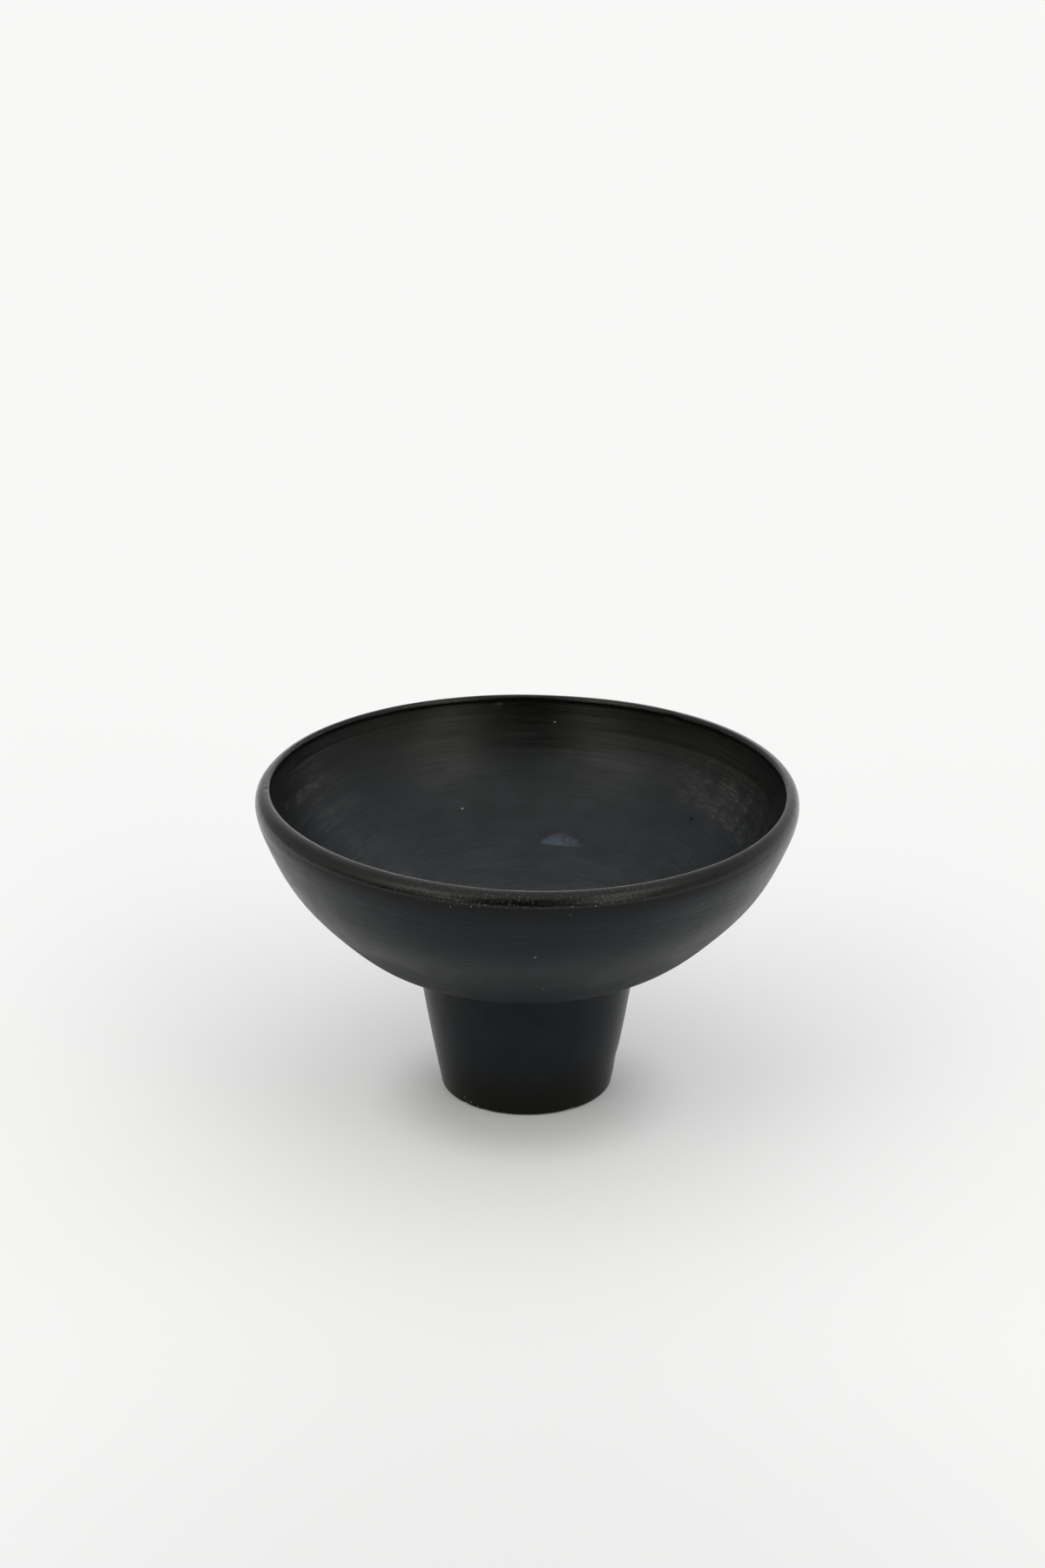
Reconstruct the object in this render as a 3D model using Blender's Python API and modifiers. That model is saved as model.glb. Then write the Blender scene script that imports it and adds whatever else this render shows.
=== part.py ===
"""Tall footed bowl in black ceramic, as four fired pieces.

A potter throws the wide bowl and the hollow foot separately. The foot is stood upside down on the
bowl's trimmed underside in a bed of slip, and a coil of clay is pressed into the corner inside the foot.
The frame has +Z up, the origin on the table under the foot's centre, and the camera side at -Y.
"""

import math

import bpy

MM = 0.001

# Sizes of the whole piece, in millimetres
RIM_RADIUS = 105.0
RIM_HEIGHT = 125.8
SEAM_HEIGHT = 57.2

# Foot: a hollow cone that widens upwards and stands on a narrow ring
FOOT_BASE_RADIUS = 33.6
FOOT_TOP_RADIUS = 43.5
FOOT_SWELL = 0.38
FOOT_BASE_WALL = 7.0
FOOT_TOP_WALL = 6.0
FOOT_OUTER_ROUND = 1.2
FOOT_INNER_ROUND = 1.8

# Bowl's outer curve: how far the flat underside and the upright shoulder pull on it
UNDERSIDE_REACH = 31.0
SHOULDER_REACH = 15.5

# Bowl's inner curve: one sweep from the centre to the lip, which leaves the clay thick over the foot
FLOOR_THICKNESS = 7.0
WALL_THICKNESS = 5.7
CORNER_FILL = 4.6
INNER_SHOULDER_REACH = 18.5

# Lip: a rounded edge, fuller on its outer side
LIP_OUTER_ROUND = 4.5
LIP_HEIGHT = 5.8
LIP_INNER_DROP = 2.2

# Finger ridges that the thrower's hand left along the outer wall
RIDGE_DEPTH = 0.26
RIDGES = 2.56
RIDGE_FADE = 4.0

# Joint between foot and bowl
SEAT_GAP = 0.3
SLIP_THICKNESS = 0.9
SLIP_BEAD = 1.8
SLIP_BEAD_START = 130.0
COIL_LEG = 7.5
COIL_BLUNT = 15.0

# Unevenness of the thrown rim: waves round the rim, size in millimetres, azimuth of a crest in degrees
RIM_RISE = ((1, 0.47, 173.5), (2, 0.7, 24.2), (3, 0.19, 5.5))
RIM_OVAL = ((2, 0.34, 129.2),)
WARP_POWER = 1.3

# Facets
TURN_STEPS = 72
OUTER_POINTS = 20
INNER_POINTS = 18
LIP_POINTS = 5
FOOT_POINTS = 6
ROUND_POINTS = 3
SHARP_ANGLE = 40.0

PART_COLLECTION = "tall_ceramic_bowl"

WIDEST_HEIGHT = RIM_HEIGHT - LIP_HEIGHT
FOOT_TOP_HEIGHT = SEAM_HEIGHT - SLIP_THICKNESS - 2 * SEAT_GAP


def start_empty():
    for old in list(bpy.data.objects):
        bpy.data.objects.remove(old, do_unlink=True)
    collection = bpy.data.collections.new(PART_COLLECTION)
    bpy.context.scene.collection.children.link(collection)
    return collection


def lerp(low, high, share):
    return low + (high - low) * share


def bezier(p0, p1, p2, p3, t):
    """Point on a cubic curve, and its unit direction, in the radius and height plane."""
    s = 1.0 - t
    point = [s**3 * a + 3 * s * s * t * b + 3 * s * t * t * c + t**3 * d for a, b, c, d in zip(p0, p1, p2, p3)]
    slope = [s * s * (b - a) + 2 * s * t * (c - b) + t * t * (d - c) for a, b, c, d in zip(p0, p1, p2, p3)]
    length = math.hypot(*slope)
    return point, (slope[0] / length, slope[1] / length)


def quarter(centre, radius, height, start, end, count):
    """Points on an elliptical arc about centre, from angle start to end in degrees, both ends included."""
    points = []
    for i in range(count + 1):
        angle = math.radians(lerp(start, end, i / count))
        points.append((centre[0] + radius * math.cos(angle), centre[1] + height * math.sin(angle)))
    return points


def outer_wall():
    """Outer wall from the foot up to the widest level, its finger ridges standing out along the normal."""
    foot = (FOOT_TOP_RADIUS, SEAM_HEIGHT)
    underside = (FOOT_TOP_RADIUS + UNDERSIDE_REACH, SEAM_HEIGHT)
    shoulder = (RIM_RADIUS, WIDEST_HEIGHT - SHOULDER_REACH)
    widest = (RIM_RADIUS, WIDEST_HEIGHT)
    points = []
    for i in range(OUTER_POINTS + 1):
        t = i / OUTER_POINTS
        (r, z), (dr, dz) = bezier(foot, underside, shoulder, widest, t)
        fade = min(1.0, RIDGE_FADE * t)
        ridge = RIDGE_DEPTH * fade * math.cos(2 * math.pi * RIDGES * (1.0 - t))
        points.append((r + dz * ridge, z - dr * ridge))
    return points


def inner_wall():
    """Inner wall from the centre of the floor up to the widest level."""
    inner_radius = RIM_RADIUS - WALL_THICKNESS
    floor_height = SEAM_HEIGHT + FLOOR_THICKNESS
    centre = (0.0, floor_height)
    floor = (FOOT_TOP_RADIUS + UNDERSIDE_REACH - CORNER_FILL, floor_height)
    shoulder = (inner_radius, WIDEST_HEIGHT - INNER_SHOULDER_REACH)
    top = (inner_radius, WIDEST_HEIGHT)
    return [bezier(centre, floor, shoulder, top, i / INNER_POINTS)[0] for i in range(INNER_POINTS + 1)]


def lip():
    """Lip from the inner wall over the crest to the widest level, with both ends left to the walls."""
    crest_radius = RIM_RADIUS - LIP_OUTER_ROUND
    inner_round = WALL_THICKNESS - LIP_OUTER_ROUND
    inner_centre = (crest_radius, RIM_HEIGHT - LIP_INNER_DROP)
    inner = quarter(inner_centre, inner_round, LIP_INNER_DROP, 180, 90, ROUND_POINTS)
    outer_centre = (crest_radius, WIDEST_HEIGHT)
    outer = quarter(outer_centre, LIP_OUTER_ROUND + RIDGE_DEPTH, LIP_HEIGHT, 90, 0, LIP_POINTS)
    return inner + outer[1:-1]


def bowl_profile():
    """Closed at the axis: inner wall, lip, outer wall and the flat underside over the foot."""
    return inner_wall() + lip() + outer_wall()[::-1] + [(0.0, SEAM_HEIGHT)]


def foot_outer(z):
    """Foot's outer radius at height z."""
    share = z / SEAM_HEIGHT
    return lerp(FOOT_BASE_RADIUS, FOOT_TOP_RADIUS, share) + FOOT_SWELL * math.sin(math.pi * share)


def foot_inner(z):
    """Foot's inner radius at height z: its outer radius less the wall there."""
    return foot_outer(z) - lerp(FOOT_BASE_WALL, FOOT_TOP_WALL, z / SEAM_HEIGHT)


def foot_profile():
    """Ring-shaped: down the outer side, round the base ring and up the inner side."""
    heights = [lerp(FOOT_TOP_HEIGHT, FOOT_OUTER_ROUND, i / FOOT_POINTS) for i in range(FOOT_POINTS)]
    outer = [(foot_outer(z), z) for z in heights]
    edge = foot_outer(FOOT_OUTER_ROUND) - FOOT_OUTER_ROUND
    outer_round = quarter((edge, FOOT_OUTER_ROUND), FOOT_OUTER_ROUND, FOOT_OUTER_ROUND, 0, -90, ROUND_POINTS)
    inner_edge = foot_inner(FOOT_INNER_ROUND) + FOOT_INNER_ROUND
    inner_round = quarter((inner_edge, FOOT_INNER_ROUND), FOOT_INNER_ROUND, FOOT_INNER_ROUND, 270, 180, ROUND_POINTS)
    heights = [lerp(FOOT_INNER_ROUND, FOOT_TOP_HEIGHT, (i + 1) / FOOT_POINTS) for i in range(FOOT_POINTS)]
    inner = [(foot_inner(z), z) for z in heights]
    return outer + outer_round + inner_round + inner


def slip_profile():
    """Thin bed on the foot's top, with a small cove that runs out along the bowl's underside."""
    low = FOOT_TOP_HEIGHT + SEAT_GAP
    high = SEAM_HEIGHT - SEAT_GAP
    inner = foot_inner(FOOT_TOP_HEIGHT)
    outer = foot_outer(FOOT_TOP_HEIGHT)
    centre = (outer + SLIP_BEAD, low)
    cove = quarter(centre, SLIP_BEAD, high - low, SLIP_BEAD_START, 180, ROUND_POINTS)
    return [(cove[0][0], high)] + cove + [(inner, low), (inner, high)]


def coil_profile():
    """Clay coil smoothed into a cove in the corner between the foot's inner wall and the bowl."""
    high = SEAM_HEIGHT - SEAT_GAP
    low = high - COIL_LEG
    wall_top = foot_inner(FOOT_TOP_HEIGHT) - SEAT_GAP
    wall_low = foot_inner(low) - SEAT_GAP
    tip = wall_top - COIL_LEG
    cove = quarter((tip, low), wall_low - tip, COIL_LEG, COIL_BLUNT, 90 - COIL_BLUNT, ROUND_POINTS + 1)
    toe = (foot_inner(cove[0][1]) - SEAT_GAP, cove[0][1])
    return [(wall_top, high), (wall_top, FOOT_TOP_HEIGHT), toe] + cove + [(cove[-1][0], high)]


def turned(name, profile, closed, collection):
    """Turn a profile of radius and height once round +Z with a Screw modifier, and apply it."""
    mesh = bpy.data.meshes.new(name)
    points = [(r * MM, 0.0, z * MM) for r, z in profile]
    edges = [(i, i + 1) for i in range(len(points) - 1)]
    if closed:
        edges.append((len(points) - 1, 0))
    mesh.from_pydata(points, edges, [])
    piece = bpy.data.objects.new(name, mesh)
    collection.objects.link(piece)
    screw = piece.modifiers.new("turn", "SCREW")
    screw.axis = "Z"
    screw.steps = TURN_STEPS
    screw.render_steps = TURN_STEPS
    screw.use_merge_vertices = True
    screw.merge_threshold = 0.00001
    bpy.context.view_layer.update()
    ready = piece.evaluated_get(bpy.context.evaluated_depsgraph_get())
    solid = bpy.data.meshes.new_from_object(ready)
    piece.modifiers.clear()
    piece.data = solid
    bpy.data.meshes.remove(mesh)
    return piece


def ring_wave(waves, azimuth):
    """Sum of the waves at an azimuth, in millimetres."""
    return sum(size * math.cos(count * (azimuth - math.radians(crest))) for count, size, crest in waves)


def warp_like_thrown_clay(piece):
    """Lift and widen the wall unevenly, from nothing at the seam to the full waves at the rim."""
    for vertex in piece.data.vertices:
        x, y, z = vertex.co
        radius = math.hypot(x, y)
        share = (z / MM - SEAM_HEIGHT) / (RIM_HEIGHT - SEAM_HEIGHT)
        weight = max(0.0, share) ** WARP_POWER * min(1.0, radius / (FOOT_TOP_RADIUS * MM))
        if weight <= 0.0:
            continue
        azimuth = math.atan2(y, x)
        grow = 1.0 + weight * ring_wave(RIM_OVAL, azimuth) * MM / radius
        lift = weight * ring_wave(RIM_RISE, azimuth) * MM
        vertex.co = (x * grow, y * grow, z + lift)


def ceramic(name, colour, roughness):
    material = bpy.data.materials.new(name)
    material.use_nodes = True
    shader = material.node_tree.nodes["Principled BSDF"]
    shader.inputs["Base Color"].default_value = (*colour, 1.0)
    shader.inputs["Roughness"].default_value = roughness
    shader.inputs["Metallic"].default_value = 0.0
    return material


def finish(piece, material):
    piece.data.materials.clear()
    piece.data.materials.append(material)
    piece.data.shade_smooth()
    piece.data.set_sharp_from_angle(angle=math.radians(SHARP_ANGLE))


def make_bowl(collection):
    bowl = turned("bowl", bowl_profile(), False, collection)
    warp_like_thrown_clay(bowl)
    finish(bowl, ceramic("bowl_black", (0.028, 0.029, 0.031), 0.38))


def make_pedestal_foot(collection):
    foot = turned("pedestal_foot", foot_profile(), True, collection)
    finish(foot, ceramic("foot_black", (0.022, 0.023, 0.025), 0.45))


def make_luting_slip(collection):
    slip = turned("luting_slip", slip_profile(), True, collection)
    finish(slip, ceramic("slip_black", (0.024, 0.024, 0.026), 0.6))


def make_seam_coil(collection):
    coil = turned("seam_coil", coil_profile(), True, collection)
    finish(coil, ceramic("coil_black", (0.03, 0.029, 0.028), 0.7))


def main():
    collection = start_empty()
    make_bowl(collection)
    make_pedestal_foot(collection)
    make_luting_slip(collection)
    make_seam_coil(collection)


main()
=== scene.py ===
"""Looks of the tall ceramic bowl: fine turned meshes, fired black surfaces, studio light and camera."""

import math

import bpy
import numpy as np
from mathutils import Matrix, Vector


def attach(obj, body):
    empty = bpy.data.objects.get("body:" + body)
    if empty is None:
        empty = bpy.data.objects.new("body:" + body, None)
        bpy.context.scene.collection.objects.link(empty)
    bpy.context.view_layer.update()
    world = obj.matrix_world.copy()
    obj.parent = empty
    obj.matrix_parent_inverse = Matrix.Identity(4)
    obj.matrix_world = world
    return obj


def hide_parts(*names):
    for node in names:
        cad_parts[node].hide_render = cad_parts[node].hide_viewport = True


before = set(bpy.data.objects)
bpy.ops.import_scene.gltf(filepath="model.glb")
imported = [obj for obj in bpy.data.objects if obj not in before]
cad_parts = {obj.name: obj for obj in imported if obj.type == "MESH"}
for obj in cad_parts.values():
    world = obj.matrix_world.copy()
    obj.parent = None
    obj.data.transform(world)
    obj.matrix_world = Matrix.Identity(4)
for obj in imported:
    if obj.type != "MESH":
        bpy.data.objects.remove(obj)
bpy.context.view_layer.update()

MM = 0.001
TINY = 1e-9

# The same sizes as the CAD model, in millimetres
RIM_RADIUS = 105.0
RIM_HEIGHT = 125.8
SEAM_HEIGHT = 57.2
FOOT_BASE_RADIUS = 33.6
FOOT_TOP_RADIUS = 43.5
FOOT_SWELL = 0.38
FOOT_BASE_WALL = 7.0
FOOT_TOP_WALL = 6.0
FOOT_OUTER_ROUND = 1.2
FOOT_INNER_ROUND = 1.8
UNDERSIDE_REACH = 31.0
SHOULDER_REACH = 15.5
FLOOR_THICKNESS = 7.0
WALL_THICKNESS = 5.7
CORNER_FILL = 4.6
LIP_HEIGHT = 5.8
RIDGE_DEPTH = 0.26
RIDGES = 2.56
RIDGE_FADE = 4.0
SEAT_GAP = 0.3
SLIP_THICKNESS = 0.9
SLIP_BEAD = 1.8
SLIP_BEAD_START = 130.0
COIL_LEG = 7.5
COIL_BLUNT = 15.0
RIM_RISE = ((1, 0.47, 173.5), (2, 0.7, 24.2), (3, 0.19, 5.5))
RIM_OVAL = ((2, 0.34, 129.2),)
WARP_POWER = 1.3

FOOT_TOP_HEIGHT = SEAM_HEIGHT - SLIP_THICKNESS - 2 * SEAT_GAP

# What the finer meshes add, in millimetres and degrees; azimuth 0 is +X and -90 faces the camera
BOWL_STEPS = 420
FOOT_STEPS = 300
# Points of the curves that the profiles are drawn from
CURVE_POINTS = 400
FOOT_WALL_POINTS = 120
ARC_POINTS = 40
SLIP_BEAD_POINTS = 12
FINE_STEP = 0.05
# Spacing of the rows that are kept, and how far the closer rows reach
WALL_ROW = 0.6
LIP_ROW = 0.4
LIP_ROW_MARGIN = 1.0
HIDDEN_ROW = 1.8
FOOT_ROW = 0.9
FOOT_BASE_ROW = 0.3
FOOT_BASE_ZONE = 2.5
SLIP_ROW = 0.6
SLIP_BEAD_ROW = 0.2
SLIP_BEAD_ZONE = 0.5
COIL_ROW = 0.4
# The flat underside runs from a share of the foot's radius almost to the axis, where a cap closes it
UNDERSIDE_SHARE = 0.98
UNDERSIDE_END = 0.4
# Waves of the lip's width as count, size and crest, and the depths under the rim where they come in
LIP_WIDTH = ((1, 0.36, 38.7), (2, 0.86, 144.4))
LIP_WIDTH_START = 24.0
LIP_WIDTH_FULL = 3.0
# Softer lip than the CAD model's: a small bead inside, over a wall that still leans outwards there
LIP_CURVE_HEIGHT = 5.6
WIDEST_HEIGHT = RIM_HEIGHT - LIP_CURVE_HEIGHT
LIP_OUTER_ROUND = 4.3
LIP_INNER_ROUND = 1.4
LIP_INNER_DROP = 2.1
BEAD_UNDERCUT = 0.08
BEAD_UNDERSIDE = 0.45
WALL_LEAN = 13.0
WALL_LEAN_REACH = 17.0
# The floor runs out this much further than in the CAD model before it turns up
FLOOR_SPREAD = 5.0
# The lip's own skin runs from the crease inside to this far above the widest line outside
LIP_SKIN_RISE = 0.8
# Rises above the seam where the thrown marks come in, and where the rings end round the widest line
MARKS_START = 1.0
MARKS_FULL = 9.0
RINGS_FADE_BELOW = 6.0
RINGS_END_ABOVE = 2.0
# Finger rings as pitch, depth, and turns of lead round the wall
OUTER_RINGS = ((4.9, 0.006, 1), (3.1, 0.006, -1))
INNER_RINGS = ((7.4, 0.024, 1), (3.3, 0.012, -1))
# The rings' mean strength, and its change as seed, cells round the bowl, cell length and size
RING_STRENGTH = 0.7
RING_CHANGE = (21, 7, 20.0, 0.6)
# Fine grooves as side (1 outer, -1 inner), height, first and last azimuth, depth, width
GROOVES = (
    (1, 111.4, -158.0, -108.0, 0.07, 0.5),
    (1, 110.0, -150.0, -104.0, 0.05, 0.4),
    (1, 108.6, -76.0, -28.0, 0.07, 0.5),
    (1, 107.2, -70.0, -34.0, 0.04, 0.4),
    (1, 103.5, -100.0, -60.0, 0.02, 0.5),
    (1, 99.8, -92.0, -44.0, 0.02, 0.5),
    (1, 94.0, -128.0, -84.0, 0.015, 0.5),
    (-1, 85.6, 50.0, 150.0, 0.10, 2.4),
    (-1, 79.0, 20.0, 160.0, 0.08, 2.0),
    (-1, 118.6, 60.0, 165.0, 0.08, 0.7),
    (-1, 116.4, 96.0, 150.0, 0.06, 0.7),
    (-1, 113.2, 20.0, 90.0, 0.07, 0.8),
    (-1, 109.8, 90.0, 160.0, 0.05, 0.8),
)
GROOVE_FADE = 14.0
# Random knots within this reach give a smooth wave of about -1 to 1
KNOT_REACH = 1.8
SPLINE_KNOTS = 4
# Lumps of the thrown wall as seed, cells round the axis, cell length and depth
BOWL_LUMPS = ((3, 14, 34.0, 0.20), (5, 34, 15.0, 0.075), (8, 90, 6.0, 0.02))
FOOT_LUMPS = ((11, 9, 22.0, 0.16), (13, 24, 9.0, 0.05))
# Heights above the table and below the foot's top over which its lumps fade out
FOOT_LUMPS_BASE = 1.5
FOOT_LUMPS_TOP = 3.0
# Dents (depth below 0 stands proud) as azimuth, radius, height, size round, size along, depth
BOWL_DENTS = (
    (-176.6, 100.3, 126.4, 0.7, 0.9, 0.35),
    (53.4, 99.2, 124.0, 3.2, 1.2, 0.30),
    (60.0, 99.2, 124.6, 2.6, 1.0, -0.16),
    (40.0, 99.3, 124.4, 3.0, 1.2, 0.16),
    (11.5, 104.9, 121.6, 0.8, 0.8, -0.25),
    (-103.1, 91.7, 90.2, 1.6, 0.25, 0.12),
    (-70.0, 104.9, 122.5, 5.0, 2.0, 0.10),
    (-112.0, 104.9, 122.0, 6.0, 2.0, 0.10),
)
FOOT_DENTS = (
    (-10.0, 36.0, 12.0, 6.0, 3.5, 0.38),
    (-135.0, 33.2, 0.6, 1.4, 1.0, 0.25),
    (-118.0, 33.4, 0.5, 1.0, 0.8, 0.16),
    (-104.0, 33.4, 0.5, 0.8, 0.7, 0.12),
    (-60.0, 33.4, 0.6, 1.6, 0.8, 0.2),
)

# Fired skin, as linear colours: drier inside, polished outside
INSIDE_DARK = (0.0093, 0.0115, 0.0152)
INSIDE_PALE = (0.0163, 0.0190, 0.0243)
# Painted shade of the inside under the rim
PAINTED_RIM_SHADE = (0.0050, 0.0050, 0.0047)
OUTSIDE_DARK = (0.0006, 0.0016, 0.0031)
OUTSIDE_PALE = (0.0016, 0.0029, 0.0052)
LIP_BLACK = (0.0030, 0.0029, 0.0025)
FOOT_DARK = (0.0094, 0.0105, 0.0124)
FOOT_PALE = (0.0114, 0.0128, 0.0150)
# Painted shade of the foot's lower part, warmer and darker
FOOT_PAINTED_SHADE = (0.0080, 0.0078, 0.0066)
SCUFF_BROWN = (0.085, 0.080, 0.070)
SMUDGE_BLUE = (0.060, 0.082, 0.115)
# Painted highlight: colour of the painted glints on the lip's front
PAINTED_LIP_GLINT = (0.048, 0.047, 0.041)
SPECK_CLAY = (0.34, 0.32, 0.26)
SLIP_CLAY = (0.0030, 0.0034, 0.0040)
COIL_CLAY = (0.016, 0.015, 0.014)
# Strength and tint of the mirror part of each surface
INSIDE_GLOSS = (0.24, (1.0, 0.985, 0.93))
LIP_GLOSS = (0.31, (1.0, 1.0, 0.985))
OUTSIDE_GLOSS = (0.185, (0.96, 0.985, 1.0))
FOOT_GLOSS = (0.095, (0.98, 0.99, 1.0))
# Streaks are laid out on a round of this radius; along the wall they go by a share of radius + height
STREAK_RADIUS = 100.0
STREAK_SLOPE = 0.75
# Share of a spot's or a scuff's reach, and of a scuff's width, inside which it has its full strength
SPOT_CORE = 0.5
REACH_CORE = 0.5
WIDTH_CORE = 0.2

# Noises are given as feature size, detail and roughness; streaks as size round the axis, size along the
# wall, detail and roughness; fades as start, end and, where needed, the values there. Depths are of bump.
CLOUDS = (15.0, 4.0, 0.62)
INSIDE_STREAKS = (26.0, 1.1, 3.0, 0.65)
INSIDE_BANDS = (60.0, 8.0, 2.0, 0.5)
INSIDE_GRAIN = (1.1, 3.0, 0.5)
INSIDE_GRAIN_DEPTH = 0.03
INSIDE_STREAK_DEPTH = 0.085
# Shares of clouds, bands and streaks in the inside's mottled colour
INSIDE_MIX = (0.45, 0.3, 0.25)
INSIDE_PALE_FADE = (0.38, 0.64)
INSIDE_ROUGHNESS = (0.0, 1.0, 0.35, 0.28)
STREAK_ROUGHNESS = (0.35, 0.65, 0.05, -0.05)
# Painted shade: the inside darkens between these depths under the rim, along a wavy line
RIM_DARK_START = 31.0
RIM_DARK_FULL = 11.0
RIM_DARK_WAVE = 18.0

OUTSIDE_STREAKS = (30.0, 1.2, 3.0, 0.65)
OUTSIDE_STREAK_DEPTH = 0.014
# Shares of clouds and streaks in the outside's mottled colour
OUTSIDE_MIX = (0.7, 0.3)
OUTSIDE_PALE_FADE = (0.36, 0.66)
OUTSIDE_ROUGHNESS = (0.0, 1.0, 0.34, 0.28)
# The outside gets duller between these heights above the seam
DULL_START = 42.0
DULL_FULL = 5.0
DULL_ROUGHNESS = 0.3
# Depths under the rim between which the lip's polish and its fine tooth come in
LIP_POLISH_START = 9.5
LIP_POLISH_FULL = 6.5
LIP_ROUGHNESS = -0.11
LIP_TOOTH = (1.2, 1.9, 2.0, 0.6)
LIP_TOOTH_DEPTH = 0.07
# Depths under the rim between which the shoulder gets its pebbled streaks
SHOULDER_START = 42.0
SHOULDER_FULL = 14.0
PEBBLES = (7.0, 1.3, 2.0, 0.55)
PEBBLE_DEPTH = 0.13
# Painted glints on the front of the lip, down to the widest line: painted highlights in the skin's colour
GLINT_AZIMUTH = -90.0
GLINT_REACH = 34.0
GLINT_EDGE = 0.5
GLINT_NOISE = (0.85, 1.0, 0.5)
GLINT_FADE = (0.60, 0.70)

FOOT_CLOUDS = (11.0, 3.0, 0.6)
FOOT_CLOUD_DEPTH = 0.012
FOOT_STREAKS = (26.0, 1.6, 3.0, 0.6)
FOOT_STREAK_DEPTH = 0.004
FOOT_PALE_FADE = (0.35, 0.7)
FOOT_ROUGHNESS = (0.3, 0.7, 0.285, 0.3)
# Heights between which the foot's painted shade, warmer and darker, comes in towards the table, and its
# bare edge at the table with the edge's raggedness
FOOT_WARM_FADE = (24.0, 6.0)
FOOT_EDGE_FADE = (2.0, 1.0)
FOOT_EDGE_NOISE = (2.0, 3.0, 0.5)
FOOT_EDGE_WAVE = 1.6
FOOT_EDGE_SHARE = 0.5

JOINT_TOOTH = (0.7, 4.0, 0.7)
JOINT_TOOTH_DEPTH = 0.02
JOINT_PATCHES = (6.0, 3.0, 0.5)
JOINT_PATCH_FADE = (0.35, 0.7)
JOINT_DARKER = 0.6
JOINT_ROUGHNESS = 0.7

# Scuffed arcs inside as height, middle azimuth, degrees to each end, width, strength
SCUFFS = (
    (97.2, 25.0, 22.0, 2.2, 0.85),
    (105.8, 29.0, 16.0, 4.5, 0.4),
    (101.0, 12.0, 9.0, 2.0, 0.6),
    (100.5, 38.0, 14.0, 3.5, 0.4),
    (109.0, 157.0, 11.0, 2.8, 0.6),
    (98.5, 149.0, 11.0, 3.0, 0.35),
    (111.5, 173.0, 6.0, 1.6, 0.5),
    (104.6, 83.5, 8.0, 0.9, 0.25),
    (121.8, 98.0, 2.4, 1.8, 1.0),
    (75.0, 112.0, 9.0, 1.2, 0.25),
    (105.0, 20.0, 36.0, 13.0, 0.30),
)
# Scuffs show as dust in patches, over an even veil that is a share of their strength
SCUFF_DUST = (7.0, 0.5, 3.0, 0.6)
SCUFF_DUST_FADE = (0.46, 0.68)
SCUFF_PATCHES = (7.0, 2.0, 0.5)
SCUFF_PATCH_FADE = (0.36, 0.56)
SCUFF_VEIL = 0.10
# Smudge on the bowl's floor as azimuth, radius and height, its size, and how its edge and its wipes vary
SMUDGE_PLACE = (76.5, 58.8, 75.4)
SMUDGE_WIDTH = 9.8
SMUDGE_LENGTH = 8.6
SMUDGE_EDGE_NOISE = (3.0, 4.0, 0.5)
SMUDGE_EDGE_WAVE = 0.9
SMUDGE_SIDE_FADE = (1.0, 0.35)
SMUDGE_BASE_FADE = (-0.4, 0.7)
SMUDGE_WIPES = (2.0, 2.0, 0.5)
SMUDGE_WIPE_FADE = (0.3, 0.62, 0.5, 1.0)
SMUDGE_END_SHARES = (0.4, 0.9)
# A dark pit in the skin of the inner wall, as azimuth, radius and height
PIT_PLACE = (35.4, 81.2, 92.4)
PIT_REACH = 1.0
PIT_ROUGHNESS = 0.5
# Light specks of clay as azimuth, radius, height and reach
INSIDE_SPECKS = (
    (110.4, 75.7, 86.8, 0.55),
    (83.2, 96.8, 115.0, 0.44),
)
OUTSIDE_SPECKS = (
    (-105.3, 105.1, 119.4, 0.30),
    (-101.0, 105.1, 120.2, 0.24),
    (-76.3, 105.2, 120.2, 0.42),
    (-81.3, 105.1, 117.5, 0.22),
    (-88.1, 96.3, 97.0, 0.42),
    (-85.7, 80.0, 76.5, 0.30),
    (-81.4, 64.6, 63.7, 0.34),
    (-109.6, 76.3, 73.2, 0.26),
    (-107.6, 75.9, 72.8, 0.24),
    (-106.0, 75.7, 72.6, 0.22),
    (-128.0, 102.0, 111.0, 0.25),
    (-60.5, 100.8, 105.6, 0.24),
)
FOOT_SPECKS = (
    (-134.8, 34.3, 3.5, 0.30),
    (-129.7, 34.0, 2.1, 0.34),
    (-124.1, 33.8, 1.1, 0.30),
    (-58.0, 33.8, 1.2, 0.34),
    (-52.0, 33.8, 1.6, 0.26),
    (-47.0, 34.0, 2.4, 0.30),
)

# Tints of the studio's lights
WHITE = (1.0, 1.0, 1.0)
WARM = (1.0, 0.99, 0.94)
WARMER = (1.0, 0.99, 0.92)
MILD = (1.0, 0.995, 0.95)
COOL = (0.985, 0.993, 1.0)
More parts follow.
